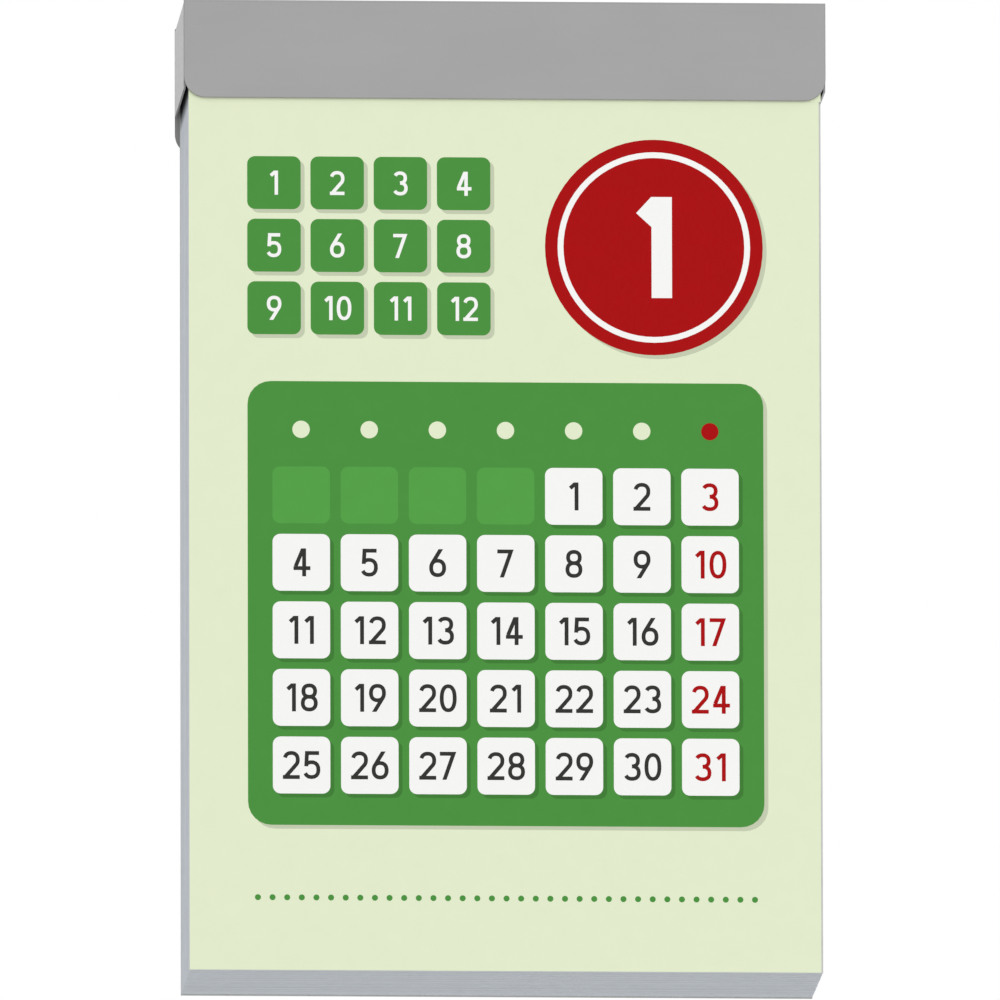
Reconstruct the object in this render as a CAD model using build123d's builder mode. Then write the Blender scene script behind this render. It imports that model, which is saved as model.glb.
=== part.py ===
from build123d import *
import os

# Tear-off day calendar: a block of thin day leaves between a printed cover leaf and a grey
# backing card, wire-stitched along its head and gripped in a folded sheet-metal cap.
# Millimetres. X to the right, Y to the back, Z up. The cover faces -Y and the block stands on Z = 0.

# Block of leaves
leaf_width = 65.0
total_height = 100.6
leaf_gauge = 0.05
cover_gauge = 0.25
card_gauge = 0.9
single_days = 7
days_of_january = 31
later_months = {
    "february": 28,
    "march": 31,
    "april": 30,
    "may": 31,
    "june": 30,
    "july": 31,
    "august": 31,
    "september": 30,
    "october": 31,
    "november": 30,
    "december": 31,
}

# Head cap, folded from thin sheet
cap_sheet = 0.2
cap_inner_bend = 0.2
cap_front_flap = 10.2
cap_back_flap = 13.2
cap_side_flap = 9.2
flap_corner_radius = 2.25
cap_side_play = 0.3
cap_face_play = 0.1
cap_top_play = 0.2
corner_relief = 0.1

# The leaves part from their bound stubs just under the edge of the front flap
tear_gap = 0.1

# Nail hole in the back flap, with room for the nail's head in the backing card
nail_hole_radius = 2.5
nail_hole_drop = 6.6
nail_head_room = 1.2

# Two staples of flat stitching wire through the bound edge, flush in front and clinched behind
wire_width = 0.7
wire_gauge = 0.5
wire_inner_bend = 0.15
wire_play = 0.05
staple_crown = 12.0
staple_clinch = 4.0
staple_spacing = 36.0
staple_drop = 4.6

# Depths, front to back
january_days = days_of_january - single_days
year_days = days_of_january + sum(later_months.values())
block_depth = cover_gauge + year_days * leaf_gauge + card_gauge
cap_depth = block_depth + 2 * (cap_face_play + cap_sheet)
cap_front = -cap_depth / 2
cap_back = cap_depth / 2
block_front = cap_front + cap_sheet + cap_face_play
january_front = block_front + cover_gauge + single_days * leaf_gauge
february_front = january_front + january_days * leaf_gauge
card_back = cap_back - cap_sheet - cap_face_play
card_front = card_back - card_gauge

# Heights and widths
block_head = total_height - cap_sheet - cap_top_play
stub_foot = total_height - cap_front_flap
leaf_head = stub_foot - tear_gap
cap_width = leaf_width + 2 * (cap_side_play + cap_sheet)
cap_outer_bend = cap_inner_bend + cap_sheet
nail_hole_height = total_height - nail_hole_drop
staple_height = total_height - staple_drop

# Wire sizes on the centre line, and the room that each staple takes in the paper
wire_bend = wire_inner_bend + wire_gauge / 2
leg_offset = (staple_crown - wire_gauge) / 2
room_width = wire_width + 2 * wire_play
leg_room = wire_gauge + 2 * wire_play
bend_room = wire_inner_bend + wire_gauge + wire_play
crown_room = staple_crown + 2 * wire_play
clinch_room = staple_clinch + leg_room / 2 + wire_play
clinch_middle = (crown_room - clinch_room) / 2

os.makedirs("parts", exist_ok=True)


def write_piece(piece, name):
    """Label a finished piece and write it as its own file."""
    piece.part.label = name
    export_step(piece.part, f"parts/{name}.step")


# Room for the staples: crown pockets in front, leg bores right through, clinch grooves behind
with BuildPart() as staple_room:
    with BuildSketch(Plane.XZ.offset(-block_front)):
        with GridLocations(staple_spacing, 0, 2, 1):
            with Locations((0, staple_height)):
                Rectangle(crown_room, room_width)
    extrude(amount=-bend_room)
    with BuildSketch(Plane.XZ.offset(-block_front)):
        with GridLocations(staple_spacing, 0, 2, 1):
            with Locations((-leg_offset, staple_height), (leg_offset, staple_height)):
                Rectangle(leg_room, room_width)
    extrude(amount=-block_depth)
    with BuildSketch(Plane.XZ.offset(-card_back)):
        with GridLocations(staple_spacing, 0, 2, 1):
            with Locations((-clinch_middle, staple_height), (clinch_middle, staple_height)):
                Rectangle(clinch_room, room_width)
    extrude(amount=bend_room)


def paper_piece(name, front, gauge, foot, head, bound):
    """Write one sheet or packet of paper; a bound piece makes room for the staples."""
    with BuildPart() as sheet:
        with BuildSketch(Plane.XZ.offset(-front)):
            with Locations((0, foot)):
                Rectangle(leaf_width, head - foot, align=(Align.CENTER, Align.MIN))
        extrude(amount=-gauge)
        if bound:
            add(staple_room.part, mode=Mode.SUBTRACT)
    write_piece(sheet, name)


# Cover and the first week's day leaves, each with the stub that stays bound under the cap
paper_piece("cover_leaf", block_front, cover_gauge, 0, leaf_head, False)
paper_piece("cover_stub", block_front, cover_gauge, stub_foot, block_head, True)
for day in range(1, single_days + 1):
    day_front = block_front + cover_gauge + (day - 1) * leaf_gauge
    paper_piece(f"day_{day}_leaf", day_front, leaf_gauge, 0, leaf_head, False)
    paper_piece(f"day_{day}_stub", day_front, leaf_gauge, stub_foot, block_head, True)

# Rest of January, which lifts as a packet, and its stubs
january_gauge = january_days * leaf_gauge
paper_piece("january_leaves", january_front, january_gauge, 0, leaf_head, False)
paper_piece("january_stubs", january_front, january_gauge, stub_foot, block_head, True)

# Later months, still whole from the foot to the bound head
month_front = february_front
for month, days in later_months.items():
    month_gauge = days * leaf_gauge
    paper_piece(f"{month}_leaves", month_front, month_gauge, 0, block_head, True)
    month_front += month_gauge

# Grey backing card with its clinch grooves and room for the nail's head
with BuildPart() as backing_card:
    with BuildSketch(Plane.XZ.offset(-card_front)):
        Rectangle(leaf_width, block_head, align=(Align.CENTER, Align.MIN))
        with Locations((0, nail_hole_height)):
            Circle(nail_hole_radius + nail_head_room, mode=Mode.SUBTRACT)
    extrude(amount=-card_gauge)
    add(staple_room.part, mode=Mode.SUBTRACT)
write_piece(backing_card, "backing_card")

# Head cap: a strip folded over the block, front flap, top and back flap in one
side_half_depth = cap_depth / 2 - cap_outer_bend - corner_relief
with BuildPart() as head_cap:
    with BuildSketch(Plane.YZ):
        with BuildLine():
            FilletPolyline(
                (cap_front, total_height - cap_front_flap),
                (cap_front, total_height),
                (cap_back, total_height),
                (cap_back, total_height - cap_back_flap),
                radius=cap_outer_bend,
            )
            offset(amount=cap_sheet, side=Side.RIGHT)
        make_face()
    extrude(amount=cap_width / 2, both=True)
    flap_corners = head_cap.edges().filter_by(Axis.Y).sort_by(SortBy.LENGTH)[:4]
    fillet(flap_corners, radius=flap_corner_radius)
    # The top gives way to the side flaps' bends, which stop short of the front and back bends
    with BuildSketch(Plane.XY.offset(total_height)):
        with GridLocations(cap_width - cap_outer_bend, 0, 2, 1):
            Rectangle(cap_outer_bend, 2 * side_half_depth)
    extrude(amount=-cap_outer_bend, mode=Mode.SUBTRACT)
    with BuildSketch(Plane.XZ):
        with BuildLine():
            FilletPolyline(
                (-cap_width / 2, total_height - cap_side_flap),
                (-cap_width / 2, total_height),
                (cap_width / 2, total_height),
                (cap_width / 2, total_height - cap_side_flap),
                radius=cap_outer_bend,
            )
            offset(amount=cap_sheet, side=Side.RIGHT)
        make_face()
    extrude(amount=side_half_depth, both=True)
    with BuildSketch(Plane.XZ.offset(-cap_back)):
        with Locations((0, nail_hole_height)):
            Circle(nail_hole_radius)
    extrude(amount=cap_sheet, mode=Mode.SUBTRACT)
write_piece(head_cap, "head_cap")

# Staples: crown across the front, legs through the block, ends clinched towards each other
crown_line = block_front + wire_gauge / 2
clinch_line = card_back - wire_gauge / 2
for side, centre in (("left", -staple_spacing / 2), ("right", staple_spacing / 2)):
    with BuildPart() as staple:
        with BuildLine(Plane.XY.offset(staple_height)) as wire_path:
            FilletPolyline(
                (centre - leg_offset + staple_clinch, clinch_line),
                (centre - leg_offset, clinch_line),
                (centre - leg_offset, crown_line),
                (centre + leg_offset, crown_line),
                (centre + leg_offset, clinch_line),
                (centre + leg_offset - staple_clinch, clinch_line),
                radius=wire_bend,
            )
        wire_start = Plane(origin=wire_path.line @ 0, x_dir=Axis.Z.direction, z_dir=wire_path.line % 0)
        with BuildSketch(wire_start):
            Rectangle(wire_width, wire_gauge)
        sweep()
    write_piece(staple, f"{side}_staple")

print("cap", round(cap_width, 3), round(cap_depth, 3), total_height)
print("tear line", round(leaf_head, 3), "hinge at", round(cap_front, 3))
print("january front", round(january_front, 3), "february front", round(february_front, 3))
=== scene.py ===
import math
import random

import bpy
from mathutils import Matrix, Vector
from mathutils.geometry import delaunay_2d_cdt


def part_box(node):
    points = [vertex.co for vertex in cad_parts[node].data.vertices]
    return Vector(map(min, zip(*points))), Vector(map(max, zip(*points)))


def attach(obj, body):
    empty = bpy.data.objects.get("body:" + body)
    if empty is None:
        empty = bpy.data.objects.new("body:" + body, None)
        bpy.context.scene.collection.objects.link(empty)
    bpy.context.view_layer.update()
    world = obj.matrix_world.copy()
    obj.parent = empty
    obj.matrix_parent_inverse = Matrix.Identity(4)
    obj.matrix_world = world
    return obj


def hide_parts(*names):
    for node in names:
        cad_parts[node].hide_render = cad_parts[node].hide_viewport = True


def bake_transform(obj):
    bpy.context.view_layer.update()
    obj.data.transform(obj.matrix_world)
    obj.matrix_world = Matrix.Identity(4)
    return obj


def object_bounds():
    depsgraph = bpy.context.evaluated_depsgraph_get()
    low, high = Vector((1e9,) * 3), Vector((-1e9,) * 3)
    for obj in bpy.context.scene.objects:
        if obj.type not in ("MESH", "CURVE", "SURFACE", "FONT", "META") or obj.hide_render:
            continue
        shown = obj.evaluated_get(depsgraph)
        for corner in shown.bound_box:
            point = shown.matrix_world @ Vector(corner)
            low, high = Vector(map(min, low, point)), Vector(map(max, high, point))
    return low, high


# Tear-off day calendar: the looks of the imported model.
# The scene is in metres, X to the right, Y to the back, Z up. Print is laid out in millimetres on a leaf,
# measured from the middle of its width and up from its foot.
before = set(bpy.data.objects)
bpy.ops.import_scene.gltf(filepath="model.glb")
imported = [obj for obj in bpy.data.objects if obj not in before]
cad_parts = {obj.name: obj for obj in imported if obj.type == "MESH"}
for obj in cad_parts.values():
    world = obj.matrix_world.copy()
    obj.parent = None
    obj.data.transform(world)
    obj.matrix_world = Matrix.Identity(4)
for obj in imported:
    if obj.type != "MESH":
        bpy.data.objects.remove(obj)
cad_low, cad_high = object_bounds()
leaf_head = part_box("cover_leaf")[1].z
scene = bpy.context.scene
MM = 0.001

# Leaves of the year, with weekdays counted from Monday as zero
SINGLE_DAYS = 7
JANUARY = 1
FEBRUARY = 2
JANUARY_DAYS = 31
LATER_MONTHS = {
    "february": 28,
    "march": 31,
    "april": 30,
    "may": 31,
    "june": 30,
    "july": 31,
    "august": 31,
    "september": 30,
    "october": 31,
    "november": 30,
    "december": 31,
}
DAYS_OF_WEEK = 7
FIRST_WEEKDAY = 4
MIDWEEK = 3
SUNDAY = 6

# Stacked paper: each sheet fills most of its share of the packet, and its trimmed edges vary a little
SHEET_FILL = 0.94
TRIM_SPREAD = 0.03 * MM
PACKET_SPREAD = 0.03 * MM
COVER_SHORT = 0.2 * MM

# Tones of the sheets' edges, from zero for dark to one for light
TONE_NAME = "leaf_tone"
STACK_TONE = 0.55
STACK_TONE_SPREAD = 0.2
PRINTED_TONE = 0.7
TORN_TONE = 0.6

# Painted shade on the leaf edges under the cap's side flaps: it starts a little below the tear line and
# darkens the edges above it
PAINTED_SHADE_BELOW = 0.7 * MM
PAINTED_SHADE_ABOVE = 0.9 * MM
PAINTED_SHADE_DEPTH = 0.93
PAINTED_SHADE_DARK = (0.012, 0.012, 0.013, 1.0)

# Lifted paper bends over this length below the edge of the cap
BEND_LENGTH = 1.6 * MM
BEND_ROWS = 9

# Slit between the head of a leaf and the edge of the stub that it tears from
TEAR_SLIT = 0.002 * MM


def linear(red, green, blue):
    """A colour written in eight-bit screen values, as linear light."""
    channels = []
    for value in (red, green, blue):
        share = value / 255
        channels.append(share / 12.92 if share <= 0.04045 else ((share + 0.055) / 1.055) ** 2.4)
    return (*channels, 1.0)


def scaled(colour, share):
    """The same colour, darker or lighter."""
    return (colour[0] * share, colour[1] * share, colour[2] * share, 1.0)


# Material helpers

# Noise lies mostly between these two values
NOISE_LOW = 0.3
NOISE_HIGH = 0.7


def node(tree, kind, **sockets):
    """Add a shader node. A socket given as another node's output is linked, and any other value is set."""
    made = tree.nodes.new("ShaderNode" + kind)
    for name, value in sockets.items():
        socket = made.inputs[name.replace("_", " ")]
        if isinstance(value, bpy.types.NodeSocket):
            tree.links.new(value, socket)
        else:
            socket.default_value = value
    return made


def ramp(tree, factor, low_colour, high_colour, low=NOISE_LOW, high=NOISE_HIGH):
    """Colour output that runs from one colour to another as the factor runs from low to high."""
    made = node(tree, "ValToRGB", Fac=factor)
    start, end = made.color_ramp.elements
    start.position = low
    start.color = low_colour
    end.position = high
    end.color = high_colour
    return made.outputs["Color"]


def ranged(tree, value, low, high, low_result=0.0, high_result=1.0):
    """Value output that runs from one result to another as a value runs from low to high."""
    made = node(tree, "MapRange", Value=value, From_Min=low, From_Max=high,
                To_Min=low_result, To_Max=high_result)
    return made.outputs["Result"]


def combined(tree, operation, first, second):
    """Value output of a maths operation on two outputs."""
    made = node(tree, "Math")
    made.operation = operation
    tree.links.new(first, made.inputs[0])
    tree.links.new(second, made.inputs[1])
    return made.outputs["Value"]


def mixed_colour(tree, factor, first, second):
    """Colour output between two colours. A colour given as another node's output is linked."""
    made = node(tree, "Mix")
    made.data_type = "RGBA"
    tree.links.new(factor, made.inputs["Factor"])
    # Sockets for colours come after those for numbers and vectors, which have the same names
    for socket, colour in ((made.inputs[6], first), (made.inputs[7], second)):
        if isinstance(colour, bpy.types.NodeSocket):
            tree.links.new(colour, socket)
        else:
            socket.default_value = colour
    return made.outputs[2]


def stretched_noise(tree, place, grains, detail):
    """Noise with its own grain size along each axis, given in grains per metre."""
    grid = node(tree, "Mapping", Vector=place, Scale=grains)
    return node(tree, "TexNoise", Vector=grid.outputs["Vector"], Scale=1.0, Detail=detail).outputs["Fac"]


def new_material(name):
    """An empty procedural material, with its node tree, its shader and the object's own coordinates."""
    made = bpy.data.materials.new(name)
    made.use_nodes = True
    tree = made.node_tree
    return made, tree, tree.nodes["Principled BSDF"], node(tree, "TexCoord").outputs["Object"]


def set_gloss(tree, shader, texture, smooth, rough, low=NOISE_LOW, high=NOISE_HIGH):
    """Roughness that runs from smooth to rough as a texture runs from low to high."""
    tree.links.new(ranged(tree, texture, low, high, smooth, rough), shader.inputs["Roughness"])


def set_relief(tree, shader, texture, strength, depth):
    """Fine bump that follows a texture."""
    relief = node(tree, "Bump", Height=texture, Strength=strength, Distance=depth)
    tree.links.new(relief.outputs["Normal"], shader.inputs["Normal"])


# Materials

ROUGHNESS_SPREAD = 0.06
RIM_WIDTH = 0.2 * MM
RIM_SHARE = 0.6
WIRE_DARK = (0.44, 0.45, 0.46, 1.0)
WIRE_LIGHT = (0.66, 0.66, 0.67, 1.0)
FELT_TURNS = (10, 55, 100, 145)
CLOUD_COVER = 0.4
FLECK_COVER = 0.45


def paper(name, colour, roughness, cloud_depth, tooth):
    """Paper or ink on paper: cloudy formation, fine fibres in bump and roughness."""
    made, tree, shader, place = new_material(name)
    cloud = stretched_noise(tree, place, grains=(420, 420, 420), detail=4.0)
    fibres = stretched_noise(tree, place, grains=(3200, 3200, 1300), detail=5.0)
    tint = ramp(tree, cloud, scaled(colour, 1 - cloud_depth), colour)
    tree.links.new(tint, shader.inputs["Base Color"])
    set_gloss(tree, shader, fibres, smooth=roughness - ROUGHNESS_SPREAD, rough=roughness + ROUGHNESS_SPREAD)
    set_relief(tree, shader, fibres, strength=tooth, depth=0.02 * MM)
    shader.inputs["Specular IOR Level"].default_value = 0.06
    return made


def leaf_edge(name, dark, light, shaded_under_cap=False):
    """Trimmed edges of stacked leaves: every sheet has its own tone, with a dusty drag along the cut.

    Edges under the cap get a painted shade: black under the cap, fading out just below it.
    """
    made, tree, shader, place = new_material(name)
    tone = node(tree, "Attribute")
    tone.attribute_name = TONE_NAME
    drag = stretched_noise(tree, place, grains=(900, 9000, 240), detail=4.0)
    shift = ranged(tree, drag, low=0.25, high=0.75, low_result=-0.25, high_result=0.25)
    level = combined(tree, "ADD", tone.outputs["Fac"], shift)
    tint = ramp(tree, level, dark, light, low=0.0, high=1.0)
    # Painted shade under the cap: the edges turn towards black from just below the tear line upward
    if shaded_under_cap:
        height = node(tree, "SeparateXYZ", Vector=place).outputs["Z"]
        painted_shade = ranged(tree, height, leaf_head - PAINTED_SHADE_BELOW, leaf_head + PAINTED_SHADE_ABOVE, high_result=PAINTED_SHADE_DEPTH)
        tint = mixed_colour(tree, painted_shade, tint, PAINTED_SHADE_DARK)
    tree.links.new(tint, shader.inputs["Base Color"])
    set_gloss(tree, shader, drag, smooth=0.78, rough=0.95, low=0.0, high=1.0)
    set_relief(tree, shader, drag, strength=0.25, depth=0.02 * MM)
    shader.inputs["Specular IOR Level"].default_value = 0.05
    return made


def lacquered_sheet(name, colour):
    """Satin lacquer on thin sheet: faint orange peel, rolling streaks, handling haze, darker rims."""
    made, tree, shader, place = new_material(name)
    haze = stretched_noise(tree, place, grains=(90, 90, 140), detail=3.0)
    streaks = stretched_noise(tree, place, grains=(60, 900, 2400), detail=3.0)
    peel = stretched_noise(tree, place, grains=(1700, 1700, 1700), detail=2.0)
    # Near an edge the rounded normal leans away from the true one
    rounded = node(tree, "Bevel", Radius=RIM_WIDTH)
    rounded.samples = 6
    flatness = node(tree, "VectorMath")
    flatness.operation = "DOT_PRODUCT"
    tree.links.new(rounded.outputs["Normal"], flatness.inputs[0])
    tree.links.new(node(tree, "NewGeometry").outputs["True Normal"], flatness.inputs[1])
    rims = ranged(tree, flatness.outputs["Value"], low=0.98, high=0.80)
    body = ramp(tree, haze, scaled(colour, 0.97), scaled(colour, 1.02))
    tree.links.new(mixed_colour(tree, rims, body, scaled(colour, RIM_SHARE)), shader.inputs["Base Color"])
    set_gloss(tree, shader, streaks, smooth=0.28, rough=0.36)
    set_relief(tree, shader, peel, strength=0.12, depth=0.01 * MM)
    return made


def galvanised_wire(name):
    """Flat zinc-coated stitching wire with drawing lines."""
    made, tree, shader, place = new_material(name)
    lines = stretched_noise(tree, place, grains=(300, 4000, 4000), detail=3.0)
    tree.links.new(ramp(tree, lines, WIRE_DARK, WIRE_LIGHT), shader.inputs["Base Color"])
    set_gloss(tree, shader, lines, smooth=0.28, rough=0.5, low=0.0, high=1.0)
    set_relief(tree, shader, lines, strength=0.2, depth=0.01 * MM)
    shader.inputs["Metallic"].default_value = 1.0
    return made


def grey_board(name, colour):
    """Uncoated board from mixed waste paper: fibres felted in all directions, light and dark flecks."""
    made, tree, shader, place = new_material(name)
    felt = None
    for turn in FELT_TURNS:
        turned = node(tree, "VectorRotate", Vector=place, Axis=(0, 1, 0), Angle=math.radians(turn))
        fibres = stretched_noise(tree, turned.outputs["Vector"], grains=(5200, 5200, 1100), detail=3.0)
        felt = fibres if felt is None else combined(tree, "MAXIMUM", felt, fibres)
    felt_range = {"low": 0.48, "high": 0.72}
    felted = ramp(tree, felt, scaled(colour, 0.86), scaled(colour, 1.08), **felt_range)
    cloud = stretched_noise(tree, place, grains=(160, 160, 160), detail=3.0)
    cloudiness = ranged(tree, cloud, NOISE_LOW, NOISE_HIGH, high_result=CLOUD_COVER)
    clouded = mixed_colour(tree, cloudiness, felted, scaled(colour, 0.92))
    # The flecks lie along the last turn of the fibres
    fleck_grid = node(tree, "Mapping", Vector=turned.outputs["Vector"], Scale=(1100, 1100, 560))
    flecks = node(tree, "TexVoronoi", Vector=fleck_grid.outputs["Vector"], Scale=1.0)
    fleck_colour = ramp(tree, flecks.outputs["Color"], scaled(colour, 0.35), scaled(colour, 1.4),
                        low=0.38, high=0.62)
    spots = ranged(tree, flecks.outputs["Distance"], low=0.28, high=0.10, high_result=FLECK_COVER)
    tree.links.new(mixed_colour(tree, spots, clouded, fleck_colour), shader.inputs["Base Color"])
    set_gloss(tree, shader, felt, smooth=0.82, rough=0.96, **felt_range)
    set_relief(tree, shader, felt, strength=0.35, depth=0.03 * MM)
    shader.inputs["Specular IOR Level"].default_value = 0.25
    return made


# Colours of the paper, the inks and the cap
PALE_GREEN = linear(231, 240, 208)
GREEN = linear(76, 148, 64)
WARM_WHITE = linear(250, 250, 248)
RED = linear(173, 6, 9)
DARK_INK = linear(51, 51, 48)
LEAF_WHITE = linear(238, 239, 236)
# Grey for a leaf's margin beside the cover's edge: painted shade
LEAF_MARGIN_SHADE = linear(206, 207, 205)
# Leaf edges are darker and bluer than the leaf paper: painted shade between the stacked sheets
LEAF_EDGE_DARK = linear(202, 207, 214)
LEAF_EDGE_LIGHT = linear(237, 241, 245)
COVER_EDGE_DARK = linear(214, 220, 214)
COVER_EDGE_LIGHT = linear(236, 240, 234)
CAP_GREY = linear(155, 155, 155)
BOARD_GREY = linear(194, 197, 195)
SHADED = 0.72
LIGHTENED = 1.25

# Finishes of the paper: smooth print on the cover, open fibres on the leaves
PALE_PRINT = {"roughness": 0.50, "cloud_depth": 0.015, "tooth": 0.10}
GREEN_PRINT = {"roughness": 0.46, "cloud_depth": 0.04, "tooth": 0.10}
WHITE_PRINT = {"roughness": 0.52, "cloud_depth": 0.01, "tooth": 0.10}
RED_PRINT = {"roughness": 0.44, "cloud_depth": 0.05, "tooth": 0.10}
DARK_PRINT = {"roughness": 0.48, "cloud_depth": 0.05, "tooth": 0.10}
PLAIN_BACK = {"roughness": 0.70, "cloud_depth": 0.02, "tooth": 0.20}
LEAF_PAPER = {"roughness": 0.80, "cloud_depth": 0.03, "tooth": 0.30}
LEAF_PRINT = {"roughness": 0.74, "cloud_depth": 0.08, "tooth": 0.30}
# Finish of the painted shade on a leaf's margin
SHADED_MARGIN_PAPER = {"roughness": 0.85, "cloud_depth": 0.10, "tooth": 0.40}

inks = {
    "cover_pale": paper("cover pale green", PALE_GREEN, **PALE_PRINT),
    "cover_pale_shaded": paper("cover pale green in printed shade", scaled(PALE_GREEN, SHADED),
                               **PALE_PRINT),
    "cover_green": paper("cover green", GREEN, **GREEN_PRINT),
    "cover_green_light": paper("cover light green", scaled(GREEN, LIGHTENED), **GREEN_PRINT),
    "cover_green_shaded": paper("cover green in printed shade", scaled(GREEN, SHADED), **GREEN_PRINT),
    "cover_white": paper("cover white", WARM_WHITE, **WHITE_PRINT),
    "cover_red": paper("cover red", RED, **RED_PRINT),
    "cover_ink": paper("cover dark ink", DARK_INK, **DARK_PRINT),
    "cover_back": paper("cover unprinted back", LEAF_WHITE, **PLAIN_BACK),
    "leaf_white": paper("leaf paper", LEAF_WHITE, **LEAF_PAPER),
    "leaf_ink": paper("leaf dark ink", DARK_INK, **LEAF_PRINT),
    "leaf_red": paper("leaf red ink", RED, **LEAF_PRINT),
    # Painted shade on the margin beside the cover's edge
    "leaf_dust": paper("painted shade on a leaf margin", LEAF_MARGIN_SHADE, **SHADED_MARGIN_PAPER),
    "leaf_edge": leaf_edge("leaf edges", LEAF_EDGE_DARK, LEAF_EDGE_LIGHT),
    # Bound edges carry a painted shade under the cap
    "bound_edge": leaf_edge("bound leaf edges with painted shade under the cap", LEAF_EDGE_DARK, LEAF_EDGE_LIGHT, shaded_under_cap=True),
    "cover_edge": leaf_edge("cover edges", COVER_EDGE_DARK, COVER_EDGE_LIGHT),
}

# A printed shade is no ink of its own: it darkens the ink that it lies on
SHADE = "printed shade"
IN_SHADE = {"cover_pale": "cover_pale_shaded", "cover_green": "cover_green_shaded"}


# Print shapes: each is a list of polygons of (x, z) points, anticlockwise

CORNER_STEPS = 6
DOT_STEPS = 10
DISC_STEPS = 24
LARGE_DISC_STEPS = 72
RULE_PITCH = 1.5


def rectangle(x, z, width, height):
    """A rectangle about its centre."""
    right, top = width / 2, height / 2
    return [[(x - right, z - top), (x + right, z - top), (x + right, z + top), (x - right, z + top)]]


def rounded_rectangle(x, z, width, height, radius):
    """A rectangle about its centre, with round corners."""
    outline = []
    corners = ((1, -1, -90), (1, 1, 0), (-1, 1, 90), (-1, -1, 180))
    for side, level, start in corners:
        for step in range(CORNER_STEPS + 1):
            angle = math.radians(start + 90 * step / CORNER_STEPS)
            outline.append((
                x + side * (width / 2 - radius) + radius * math.cos(angle),
                z + level * (height / 2 - radius) + radius * math.sin(angle),
            ))
    return [outline]


def disc(x, z, radius, steps=DISC_STEPS):
    """A round spot."""
    angles = [2 * math.pi * step / steps for step in range(steps)]
    return [[(x + radius * math.cos(angle), z + radius * math.sin(angle)) for angle in angles]]


def dotted_rule(z, half_width, radius):
    """A row of small dots across the leaf."""
    count = int(half_width / RULE_PITCH)
    dots = []
    for place in range(-count, count + 1):
        dots += disc(place * RULE_PITCH, z, radius, DOT_STEPS)
    return dots


def week_place(weekday, pitch):
    """Place of a weekday in a row of seven about the middle of the leaf."""
    return (weekday - MIDWEEK) * pitch


def mirrored(shapes):
    """The same shapes for the back of a leaf, where right and left change places."""
    return [[(-x, z) for x, z in polygon][::-1] for polygon in shapes]


# Plain digits: each is drawn with a few strokes along centre lines, given in shares of the digit's box.
# A stroke is its points and how far its two ends go on, in shares of the stroke's own weight.

DIGIT_WIDTH = 0.60
ONE_WIDTH = 0.42
DIGIT_GAP = 0.13
DIGIT_SQUARENESS = 2.3
RING_OVERLAP = 10
TEXT_WEIGHT = 0.14
BOLD_WEIGHT = 0.2
LARGE_NUMBER = 8.0
LARGE_STEPS = 48
SMALL_STEPS = 14


def digit_strokes(steps):
    """Strokes of the ten digits, with the given number of steps along each round stretch."""

    def bow(x, z, half_width, half_height, start, end):
        """Points of an arc of a slightly squared oval, from one angle to another."""
        points = []
        for step in range(steps + 1):
            angle = math.radians(start + (end - start) * step / steps)
            across, along = math.cos(angle), math.sin(angle)
            points.append((
                x + half_width * math.copysign(abs(across) ** (2 / DIGIT_SQUARENESS), across),
                z + half_height * math.copysign(abs(along) ** (2 / DIGIT_SQUARENESS), along),
            ))
        return points

    def ring(x, z, half_width, half_height):
        """A closed oval: an upper and a lower stroke that overlap where they meet."""
        upper = bow(x, z, half_width, half_height, -RING_OVERLAP, 180 + RING_OVERLAP)
        lower = bow(x, z, half_width, half_height, 180 - RING_OVERLAP, 360 + RING_OVERLAP)
        return [(upper, 0, 0), (lower, 0, 0)]

    return {
        "0": ring(0.5, 0.5, 0.5, 0.5),
        "1": [([(0.85, 0), (0.85, 1)], 0.5, 0.5), ([(0.85, 1.08), (0.05, 0.84)], 0, 0)],
        "2": [(bow(0.5, 0.72, 0.5, 0.28, 165, -40) + [(0.04, 0)], 0, 0), ([(0, 0), (1, 0)], 0.5, 0.5)],
        "3": [(bow(0.47, 0.76, 0.47, 0.24, 155, -90), 0, 0), (bow(0.48, 0.26, 0.52, 0.26, 90, -155), 0, 0)],
        "4": [
            ([(0.585, 1), (0.065, 0.334)], 1.0, 0),
            ([(0, 0.26), (1.05, 0.26)], 0.33, 0.5),
            ([(0.72, 0), (0.72, 1)], 0.5, 0.5),
        ],
        "5": [
            ([(0.12, 1), (0.9, 1)], 0.5, 0.5),
            ([(0.12, 1), (0.07, 0.53)], 0, 0.5),
            (bow(0.47, 0.31, 0.53, 0.31, 142, -155), 0, 0),
        ],
        "6": ring(0.5, 0.3, 0.5, 0.3) + [([(0.081, 0.486), (0.66, 1)], 0, 1.0)],
        "7": [([(0, 1), (0.9, 1)], 0.5, 0), ([(0.9, 1), (0.25, 0)], 1.0, 1.0)],
        "8": ring(0.5, 0.765, 0.45, 0.235) + ring(0.5, 0.265, 0.5, 0.265),
        "9": ring(0.5, 0.7, 0.5, 0.3) + [([(0.919, 0.514), (0.34, 0)], 0, 1.0)],
    }


small_digits = digit_strokes(SMALL_STEPS)
large_digits = digit_strokes(LARGE_STEPS)


def cut_level(polygon, level, side):
    """The part of a polygon on one side of a level: below it for side 1, above it for side -1."""
    kept = []
    for place, (x, z) in enumerate(polygon):
        before_x, before_z = polygon[place - 1]
        inside = side * (level - z) >= 0
        if inside != (side * (level - before_z) >= 0):
            share = (level - before_z) / (z - before_z)
            kept.append((before_x + share * (x - before_x), level))
        if inside:
            kept.append((x, z))
    return kept


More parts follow.
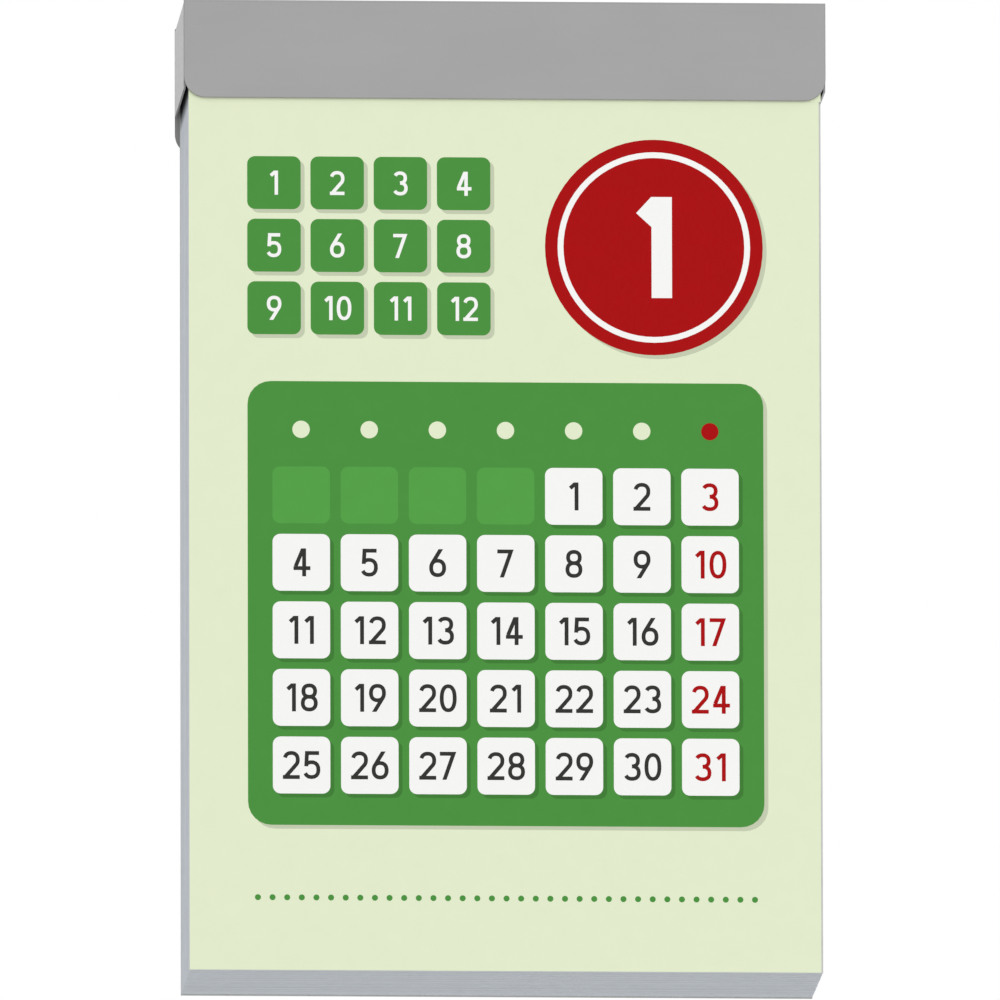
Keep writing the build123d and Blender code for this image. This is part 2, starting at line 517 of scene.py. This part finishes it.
def stroke(points, weight, start_reach, end_reach):
    """Outline of a stroke of even weight, cut off at the foot and head of a digit that is one high."""
    line = [Vector(point) for point in points]
    line[0] -= (line[1] - line[0]).normalized() * weight * start_reach
    line[-1] += (line[-1] - line[-2]).normalized() * weight * end_reach
    left, right = [], []
    for place, point in enumerate(line):
        along = (line[min(place + 1, len(line) - 1)] - line[max(place - 1, 0)]).normalized()
        half = Vector((-along.y, along.x)) * weight / 2
        left.append(tuple(point + half))
        right.append(tuple(point - half))
    return cut_level(cut_level(right + left[::-1], 0.5, 1), -0.5, -1)


def number(value, height, x, z, weight=TEXT_WEIGHT):
    """A plain number of the given height about its centre. The weight is a share of the height."""
    strokes = large_digits if height > LARGE_NUMBER else small_digits
    digits = str(value)
    widths = [ONE_WIDTH if digit == "1" else DIGIT_WIDTH for digit in digits]
    left = -(sum(widths) + DIGIT_GAP * (len(digits) - 1)) / 2
    outlines = []
    for digit, width in zip(digits, widths):
        for points, start_reach, end_reach in strokes[digit]:
            placed = [
                (left + weight / 2 + across * (width - weight), (up - 0.5) * (1 - weight))
                for across, up in points
            ]
            outlines.append(stroke(placed, weight, start_reach, end_reach))
        left += width + DIGIT_GAP
    return [[(x + across * height, z + up * height) for across, up in outline] for outline in outlines]


# Meshes

# Cutting a side along its print: the triangles inside its border are kept, and points this near to each
# other become one
CUT_INSIDE = 1
CUT_NEARNESS = 1e-5
PRINT_DECIMALS = 4


def make_piece(name, points, faces, face_inks, face_tones):
    """A mesh object with a material and a paper tone for each face."""
    mesh = bpy.data.meshes.new(name)
    mesh.from_pydata(points, [], faces)
    used = sorted(set(face_inks))
    for ink in used:
        mesh.materials.append(inks[ink])
    mesh.polygons.foreach_set("material_index", [used.index(ink) for ink in face_inks])
    tone = mesh.attributes.new(TONE_NAME, "FLOAT", "FACE")
    tone.data.foreach_set("value", face_tones)
    piece = bpy.data.objects.new(name, mesh)
    scene.collection.objects.link(piece)
    return piece


def on_grid(point):
    """A print point to a ten-thousandth of a millimetre, so that points in the same place are equal."""
    return Vector((round(point[0], PRINT_DECIMALS), round(point[1], PRINT_DECIMALS)))


def printed_side(border, rows, design):
    """Triangles of one flat side, cut along the print's outlines, and the ink of each.

    The design is a list of inks, each with its polygons. The first ink covers the whole side, and later
    ones lie on top. Rows are pairs of places in the border that an edge across the side joins, for bending.
    """
    points = [Vector(point) for point in border]
    outlines = [list(range(len(border)))]
    layers = [0]
    for layer, (_, polygons) in enumerate(design):
        for polygon in polygons:
            outlines.append(list(range(len(points), len(points) + len(polygon))))
            points += [on_grid(point) for point in polygon]
            layers.append(layer)
    cut = delaunay_2d_cdt(points, rows, outlines, CUT_INSIDE, CUT_NEARNESS, True)
    corners, _, triangles, merged_points, _, sources = cut
    chosen = []
    for source in sources:
        covering = sorted({layers[outline] for outline in source})
        top = [layer for layer in covering if design[layer][0] != SHADE][-1]
        ink = design[top][0]
        chosen.append(IN_SHADE.get(ink, ink) if covering[-1] > top else ink)
    new_place = {point: place for place, merged in enumerate(merged_points) for point in merged}
    return corners, triangles, chosen, [new_place[index] for index in range(len(border))]


def printed_sheet(name, low, high, front, back, edge, levels=()):
    """A closed sheet whose front and back are cut along their print. Levels are extra rows for bending."""
    left, right, foot, head = low.x / MM, high.x / MM, low.z / MM, high.z / MM
    # The border runs along the foot, up the right side and down the left one
    border = [(left, foot), (right, foot)]
    border += [(right, level / MM) for level in levels]
    border += [(right, head), (left, head)]
    border += [(left, level / MM) for level in reversed(levels)]
    rows = [(2 + place, len(border) - 1 - place) for place in range(len(levels))]
    points, faces, face_inks, rims = [], [], [], []
    for depth, design, order in ((low.y, front, 1), (high.y, back, -1)):
        corners, triangles, chosen, rim = printed_side(border, rows, design)
        start = len(points)
        points += [(corner.x * MM, depth, corner.y * MM) for corner in corners]
        faces += [[start + index for index in triangle][::order] for triangle in triangles]
        face_inks += chosen
        rims.append([start + index for index in rim])
    front_rim, back_rim = rims
    for place in range(len(border)):
        after = (place + 1) % len(border)
        faces.append([front_rim[place], back_rim[place], back_rim[after], front_rim[after]])
        face_inks.append(edge)
    return make_piece(name, points, faces, face_inks, [PRINTED_TONE] * len(faces))


def add_upright(points, faces, low, high, levels=()):
    """Add a closed upright sheet to a mesh in the making, with extra rows of points at the levels.

    The faces of each row are the front, right, back and left, and the foot and head come last.
    """
    start = len(points)
    for height in (low.z, *levels, high.z):
        points += [
            (low.x, low.y, height),
            (high.x, low.y, height),
            (high.x, high.y, height),
            (low.x, high.y, height),
        ]
    top = len(points) - 4
    for lower in range(start, top, 4):
        for side in range(4):
            after = (side + 1) % 4
            faces.append([lower + side, lower + after, lower + 4 + after, lower + 4 + side])
    faces.append([start + 3, start + 2, start + 1, start])
    faces.append([top, top + 1, top + 2, top + 3])


def sheet_stack(name, low, high, count, seed, edge, levels=()):
    """A packet of single sheets, each trimmed a little differently. Levels are extra rows for bending."""
    rng = random.Random(seed)
    share = (high.y - low.y) / count
    packet_trim = [rng.random() * PACKET_SPREAD for _ in range(3)]
    points, faces, face_tones = [], [], []
    for sheet in range(count):
        left, right, foot = [trim + rng.random() * TRIM_SPREAD for trim in packet_trim]
        tone = min(max(rng.gauss(STACK_TONE, STACK_TONE_SPREAD), 0.0), 1.0)
        front = low.y + sheet * share
        sheet_low = Vector((low.x + left, front, low.z + foot))
        sheet_high = Vector((high.x - right, front + share * SHEET_FILL, high.z))
        add_upright(points, faces, sheet_low, sheet_high, levels)
        face_tones += [tone] * (len(faces) - len(face_tones))
    return make_piece(name, points, faces, [edge] * len(faces), face_tones)


def sheet_box(low, high, count, place):
    """Corners of one sheet of a packet, counted from the front, with a hair's breadth free behind it."""
    share = (high.y - low.y) / count
    front = low.y + place * share
    return Vector((low.x, front, low.z)), Vector((high.x, front + share * SHEET_FILL, high.z))


def leaf_box(name):
    """Corners of a single leaf, or of a packet as one leaf, with a hair's breadth free behind it."""
    low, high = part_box(name)
    return sheet_box(low, high, 1, 0)


# Cover: a generic month sheet in the colours of the object

COVER_MARGIN = 6.0
PANEL_FOOT = 15.0
PANEL_HEAD = 61.0
PANEL_CORNER = 2.4
DAY_PITCH = 7.0
DAY_CHIP = 5.9
CHIP_CORNER = 0.8
DAY_NUMBER = 2.9
FIRST_WEEK_LEVEL = 49.2
WEEKDAY_LEVEL = 56.0
WEEKDAY_DOT = 0.9
MONTH_PITCH = 6.5
MONTH_CHIP = 5.5
MONTH_NUMBER = 2.5
MONTH_COLUMNS = 4
MONTH_LEVEL = 81.6
BADGE_RADIUS = 11.2
BADGE_RING = 9.9
BADGE_FIELD = 9.3
BADGE_NUMBER = 10.5
COVER_RULE_DOT = 0.32
COVER_RULE_INSET = 0.5
SHADE_SHIFT = 0.4


def chip(x, z, size):
    """A small square with round corners."""
    return rounded_rectangle(x, z, size, size, CHIP_CORNER)


def add_shaded(design, ink, shapes):
    """Add shapes in an ink, over a printed shade that falls to the lower right."""
    shade = [[(x + SHADE_SHIFT, z - SHADE_SHIFT) for x, z in polygon] for polygon in shapes]
    design.append((SHADE, shade))
    design.append((ink, shapes))


def add_month_panel(design, panel_half):
    """Add the green panel with the thirty-one days of a month on white chips, Sundays in red."""
    panel_middle = (PANEL_FOOT + PANEL_HEAD) / 2
    panel = rounded_rectangle(0, panel_middle, 2 * panel_half, PANEL_HEAD - PANEL_FOOT, PANEL_CORNER)
    add_shaded(design, "cover_green", panel)
    for weekday in range(DAYS_OF_WEEK):
        dot = disc(week_place(weekday, DAY_PITCH), WEEKDAY_LEVEL, WEEKDAY_DOT)
        design.append(("cover_red" if weekday == SUNDAY else "cover_pale", dot))
    for blank in range(FIRST_WEEKDAY):
        blank_chip = chip(week_place(blank, DAY_PITCH), FIRST_WEEK_LEVEL, DAY_CHIP)
        design.append(("cover_green_light", blank_chip))
    for day in range(1, JANUARY_DAYS + 1):
        week, weekday = divmod(FIRST_WEEKDAY + day - 1, DAYS_OF_WEEK)
        x = week_place(weekday, DAY_PITCH)
        z = FIRST_WEEK_LEVEL - week * DAY_PITCH
        add_shaded(design, "cover_white", chip(x, z, DAY_CHIP))
        design.append(("cover_red" if weekday == SUNDAY else "cover_ink", number(day, DAY_NUMBER, x, z)))


def add_month_chips(design, panel_half):
    """Add twelve green chips with the numbers of the months, above the panel on the left."""
    for month in range(len(LATER_MONTHS) + 1):
        row, column = divmod(month, MONTH_COLUMNS)
        x = -panel_half + MONTH_CHIP / 2 + column * MONTH_PITCH
        z = MONTH_LEVEL - row * MONTH_PITCH
        add_shaded(design, "cover_green", chip(x, z, MONTH_CHIP))
        design.append(("cover_white", number(month + 1, MONTH_NUMBER, x, z)))


def add_badge(design, panel_half):
    """Add a red badge with a white ring and the month's number, above the panel on the right."""
    x = panel_half - BADGE_RADIUS
    z = MONTH_LEVEL - MONTH_PITCH
    add_shaded(design, "cover_red", disc(x, z, BADGE_RADIUS, LARGE_DISC_STEPS))
    design.append(("cover_white", disc(x, z, BADGE_RING, LARGE_DISC_STEPS)))
    design.append(("cover_red", disc(x, z, BADGE_FIELD, LARGE_DISC_STEPS)))
    design.append(("cover_white", number(JANUARY, BADGE_NUMBER, x, z, BOLD_WEIGHT)))


def cover_design(half_width):
    """Front of the cover: month chips and a badge over a month's panel, with a dotted rule below."""
    design = [("cover_pale", [])]
    panel_half = half_width - COVER_MARGIN
    add_month_panel(design, panel_half)
    add_month_chips(design, panel_half)
    add_badge(design, panel_half)
    rule = dotted_rule(PANEL_FOOT / 2, panel_half - COVER_RULE_INSET, COVER_RULE_DOT)
    design.append(("cover_green", rule))
    return design


# Day pages: a large plain number in front, a number puzzle behind

PAGE_NUMBER = 33.0
PAGE_NUMBER_LEVEL = 47.0
PAGE_RULES = (75.0, 20.0)
PAGE_RULE_HALF = 27.0
PAGE_RULE_DOT = 0.25
PAGE_MONTH_NUMBER = 5.0
PAGE_YEAR_NUMBER = 2.5
PAGE_SMALL_INSET = 2.5
PAGE_SMALL_LEVEL = 81.5
PAGE_WEEK_LEVEL = 12.5
PAGE_WEEK_PITCH = 6.0
PAGE_TODAY_DOT = 1.6
PAGE_WEEK_DOT = 0.7
PUZZLE_SIDE = 9
PUZZLE_BLOCK = 3
PUZZLE_CELL = 5.6
PUZZLE_MIDDLE = 47.0
PUZZLE_NUMBER = 3.1
PUZZLE_SHOWN = 0.38
PUZZLE_BLOCK_LINE = 0.34
PUZZLE_CELL_LINE = 0.12
# Size of the painted shade strip beside the cover's edge
MARGIN_SHADE_INSET = 0.01
MARGIN_SHADE_OVERLAP = 0.05


def page_design(day, month, day_of_year):
    """Front of a day leaf: day, month and day of the year as plain numbers, and a dot for the weekday."""
    weekday = (FIRST_WEEKDAY + day_of_year - 1) % DAYS_OF_WEEK
    small_place = PAGE_RULE_HALF - PAGE_SMALL_INSET
    day_shapes = number(day, PAGE_NUMBER, 0, PAGE_NUMBER_LEVEL, BOLD_WEIGHT)
    month_shapes = number(month, PAGE_MONTH_NUMBER, -small_place, PAGE_SMALL_LEVEL)
    year_shapes = number(day_of_year, PAGE_YEAR_NUMBER, small_place, PAGE_SMALL_LEVEL)
    design = [("leaf_white", [])]
    design.append(("leaf_red" if weekday == SUNDAY else "leaf_ink", day_shapes))
    for level in PAGE_RULES:
        design.append(("leaf_ink", dotted_rule(level, PAGE_RULE_HALF, PAGE_RULE_DOT)))
    design.append(("leaf_ink", month_shapes))
    design.append(("leaf_ink", year_shapes))
    for place in range(DAYS_OF_WEEK):
        radius = PAGE_TODAY_DOT if place == weekday else PAGE_WEEK_DOT
        dot = disc(week_place(place, PAGE_WEEK_PITCH), PAGE_WEEK_LEVEL, radius)
        design.append(("leaf_red" if place == SUNDAY else "leaf_ink", dot))
    return design


def puzzle_design(seed):
    """Back of a day leaf: a nine by nine number puzzle."""
    rng = random.Random(seed)
    digits = rng.sample(range(1, PUZZLE_SIDE + 1), PUZZLE_SIDE)
    design = [("leaf_white", [])]
    for line in range(PUZZLE_SIDE + 1):
        place = (line - PUZZLE_SIDE / 2) * PUZZLE_CELL
        weight = PUZZLE_BLOCK_LINE if line % PUZZLE_BLOCK == 0 else PUZZLE_CELL_LINE
        length = PUZZLE_SIDE * PUZZLE_CELL + weight
        design.append(("leaf_ink", rectangle(place, PUZZLE_MIDDLE, weight, length)))
        design.append(("leaf_ink", rectangle(0, PUZZLE_MIDDLE + place, length, weight)))
    middle_cell = PUZZLE_SIDE // 2
    for row in range(PUZZLE_SIDE):
        for column in range(PUZZLE_SIDE):
            if rng.random() < PUZZLE_SHOWN:
                digit = digits[(PUZZLE_BLOCK * row + row // PUZZLE_BLOCK + column) % PUZZLE_SIDE]
                x = (column - middle_cell) * PUZZLE_CELL
                z = PUZZLE_MIDDLE + (row - middle_cell) * PUZZLE_CELL
                design.append(("leaf_ink", mirrored(number(digit, PUZZLE_NUMBER, -x, z))))
    return design


def dusty_margin(right, head):
    """Painted shade along a leaf's right edge, on the strip bare beside the shorter cover and just inside
    the leaf's outline.
    """
    width = COVER_SHORT / MM + MARGIN_SHADE_OVERLAP
    return rectangle(right - MARGIN_SHADE_INSET - width / 2, head / 2, width, head - 2 * MARGIN_SHADE_INSET)


def blank_design(ink):
    """An unprinted side."""
    return [(ink, [])]


# Cover leaf, which bends just below the cap
cover_low, cover_high = leaf_box("cover_leaf")
bend_foot = leaf_head - BEND_LENGTH
bend_levels = [bend_foot + BEND_LENGTH * row / BEND_ROWS for row in range(BEND_ROWS)]
trimmed_corner = cover_high - Vector((COVER_SHORT, 0, 0))
cover = printed_sheet("printed_cover", cover_low, trimmed_corner, cover_design(cover_high.x / MM),
                      blank_design("cover_back"), "cover_edge", bend_levels)
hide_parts("cover_leaf")
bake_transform(cover)

# Day leaves of the first week, the first with a painted shade on the margin that the cover leaves bare
for day in range(1, SINGLE_DAYS + 1):
    page_low, page_high = leaf_box(f"day_{day}_leaf")
    front = page_design(day, JANUARY, day)
    if day == 1:
        front.append(("leaf_dust", dusty_margin(page_high.x / MM, page_high.z / MM)))
    page = printed_sheet(f"day_{day}_page", page_low, page_high, front, puzzle_design(day), "leaf_edge")
    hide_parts(f"day_{day}_leaf")
    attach(page, f"day_{day}")

# Rest of January: its first and last leaves show their print when the packet lifts
packet_low, packet_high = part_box("january_leaves")
packet_days = JANUARY_DAYS - SINGLE_DAYS
first_day = SINGLE_DAYS + 1
first_low, first_high = sheet_box(packet_low, packet_high, packet_days, 0)
last_low, last_high = sheet_box(packet_low, packet_high, packet_days, packet_days - 1)
inner_low, _ = sheet_box(packet_low, packet_high, packet_days, 1)
inner_high = Vector((packet_high.x, last_low.y, packet_high.z))
first_page = printed_sheet("january_first_page", first_low, first_high,
                           page_design(first_day, JANUARY, first_day), blank_design("leaf_white"),
                           "leaf_edge", bend_levels)
last_page = printed_sheet("january_last_page", last_low, last_high, blank_design("leaf_white"),
                          puzzle_design(JANUARY_DAYS), "leaf_edge", bend_levels)
january_sheets = sheet_stack("january_sheets", inner_low, inner_high, packet_days - 2, JANUARY,
                             "leaf_edge", bend_levels)
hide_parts("january_leaves")
for piece in (first_page, last_page, january_sheets):
    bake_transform(piece)

# Later months, bound at the head; February's first page shows under the lifted packet
for month_number, (month, days) in enumerate(LATER_MONTHS.items(), start=FEBRUARY):
    stack_low, stack_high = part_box(f"{month}_leaves")
    if month_number == FEBRUARY:
        page_low, page_high = sheet_box(stack_low, stack_high, days, 0)
        page = printed_sheet("february_first_page", page_low, page_high,
                             page_design(1, FEBRUARY, JANUARY_DAYS + 1), blank_design("leaf_white"),
                             "bound_edge")
        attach(page, "block")
        stack_low, _ = sheet_box(stack_low, stack_high, days, 1)
        days -= 1
    sheets = sheet_stack(f"{month}_sheets", stack_low, stack_high, days, month_number, "bound_edge")
    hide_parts(f"{month}_leaves")
    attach(sheets, "block")

# Tear line: narrow edges of the bound stubs reach down almost to the heads of the leaves
tear_points, tear_faces, tear_inks = [], [], []
tear_sheets = [("cover_leaf", "cover_stub", "cover_pale")]
tear_sheets += [(f"day_{day}_leaf", f"day_{day}_stub", "leaf_white") for day in range(1, SINGLE_DAYS + 1)]
tear_sheets += [("january_leaves", "january_stubs", "leaf_white")]
for leaf, stub, ink in tear_sheets:
    leaf_low, leaf_high = leaf_box(leaf)
    strip_low = Vector((leaf_low.x, leaf_low.y, leaf_high.z + TEAR_SLIT))
    strip_high = Vector((leaf_high.x, leaf_high.y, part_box(stub)[0].z))
    add_upright(tear_points, tear_faces, strip_low, strip_high)
    tear_inks += [ink, "bound_edge", ink, "bound_edge", "bound_edge", "bound_edge"]
tear_edges = make_piece("tear_edges", tear_points, tear_faces, tear_inks, [TORN_TONE] * len(tear_faces))
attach(tear_edges, "block")

# Pieces that keep their solids get their finish
wire_finish = galvanised_wire("galvanised wire")
finishes = {
    "head_cap": lacquered_sheet("satin grey lacquer", CAP_GREY),
    "backing_card": grey_board("grey board", BOARD_GREY),
    "left_staple": wire_finish,
    "right_staple": wire_finish,
    "cover_stub": inks["cover_pale"],
    "january_stubs": inks["bound_edge"],
}
for day in range(1, SINGLE_DAYS + 1):
    finishes[f"day_{day}_stub"] = inks["bound_edge"]
for name, finish in finishes.items():
    material_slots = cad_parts[name].data.materials
    material_slots.clear()
    material_slots.append(finish)

# White surroundings: the background is white to the camera and in reflections, and lights the object softly
AMBIENT = 0.745
WHITE = (1.0, 1.0, 1.0, 1.0)


def seen_directly(tree):
    """One for rays from the camera, reflections and refractions, zero for light on surfaces."""
    path = node(tree, "LightPath")
    seen = path.outputs["Is Camera Ray"]
    for kind in ("Is Glossy Ray", "Is Transmission Ray"):
        seen = combined(tree, "MAXIMUM", seen, path.outputs[kind])
    return seen


world = bpy.data.worlds.new("studio")
world.use_nodes = True
scene.world = world
sky_tree = world.node_tree
sky = sky_tree.nodes["Background"]
sky.inputs["Color"].default_value = WHITE
sky_level = ranged(sky_tree, seen_directly(sky_tree), low=0.0, high=1.0, low_result=AMBIENT)
sky_tree.links.new(sky_level, sky.inputs["Strength"])

# Pale floor, far below because the camera looks up at the foot of the block
FLOOR_LEVEL = -6.0
FLOOR_HALF = 30.0
FLOOR_PALE = (0.87, 0.87, 0.87, 1.0)
floor_mesh = bpy.data.meshes.new("floor")
floor_sides = [(-1, -1), (1, -1), (1, 1), (-1, 1)]
floor_corners = [(x * FLOOR_HALF, y * FLOOR_HALF, FLOOR_LEVEL) for x, y in floor_sides]
floor_mesh.from_pydata(floor_corners, [], [(0, 1, 2, 3)])
floor = bpy.data.objects.new("floor", floor_mesh)
scene.collection.objects.link(floor)
floor_finish, floor_tree, floor_shader, _ = new_material("pale floor")
floor_shader.inputs["Base Color"].default_value = FLOOR_PALE
floor_shader.inputs["Roughness"].default_value = 0.9
glow = node(floor_tree, "Emission", Color=WHITE, Strength=1.0)
floor_mix = node(floor_tree, "MixShader", Fac=seen_directly(floor_tree))
floor_tree.links.new(floor_shader.outputs["BSDF"], floor_mix.inputs[1])
floor_tree.links.new(glow.outputs["Emission"], floor_mix.inputs[2])
floor_tree.links.new(floor_mix.outputs["Shader"], floor_tree.nodes["Material Output"].inputs["Surface"])
floor_mesh.materials.append(floor_finish)

# Lamp: one large softbox in front, above and to the right, facing the object
LAMP_PLACE = Vector((0.6, -1.9, 0.75))
LAMP_SIZE = 2.0
LAMP_WATTS = 15.8
block_middle = (cad_low + cad_high) / 2
lamp_data = bpy.data.lights.new("key softbox", "AREA")
lamp_data.shape = "SQUARE"
lamp_data.size = LAMP_SIZE
lamp_data.energy = LAMP_WATTS
lamp = bpy.data.objects.new("key softbox", lamp_data)
lamp.location = LAMP_PLACE
lamp.rotation_euler = (block_middle - LAMP_PLACE).to_track_quat("-Z", "Y").to_euler()
scene.collection.objects.link(lamp)

# Camera: a long lens a little to the left of the front and below the foot, as in the photograph
CAMERA_AZIMUTH = math.radians(3.102)
CAMERA_ELEVATION = math.radians(-8.576)
CAMERA_ROLL = math.radians(-0.128)
CAMERA_DISTANCE = 4.854
CAMERA_REACH = 100.0
CAMERA_LENS = 1700.0
SIGHT_RIGHT = -0.054 * MM
SIGHT_UP = -0.050 * MM

toward = Vector((
    math.sin(CAMERA_AZIMUTH) * math.cos(CAMERA_ELEVATION),
    math.cos(CAMERA_AZIMUTH) * math.cos(CAMERA_ELEVATION),
    -math.sin(CAMERA_ELEVATION),
))
level_right = Vector((math.cos(CAMERA_AZIMUTH), -math.sin(CAMERA_AZIMUTH), 0.0))
level_up = level_right.cross(toward)
camera_right = math.cos(CAMERA_ROLL) * level_right + math.sin(CAMERA_ROLL) * level_up
camera_up = math.cos(CAMERA_ROLL) * level_up - math.sin(CAMERA_ROLL) * level_right
sight = block_middle + SIGHT_RIGHT * camera_right + SIGHT_UP * camera_up
camera_place = sight - CAMERA_DISTANCE * toward

camera_data = bpy.data.cameras.new("camera")
camera_data.lens = CAMERA_LENS
camera_data.clip_end = CAMERA_REACH
camera = bpy.data.objects.new("camera", camera_data)
camera_axes = Matrix((camera_right, camera_up, -toward)).transposed().to_4x4()
camera.matrix_world = Matrix.Translation(camera_place) @ camera_axes
scene.collection.objects.link(camera)
scene.camera = camera

scene.view_settings.view_transform = "Standard"
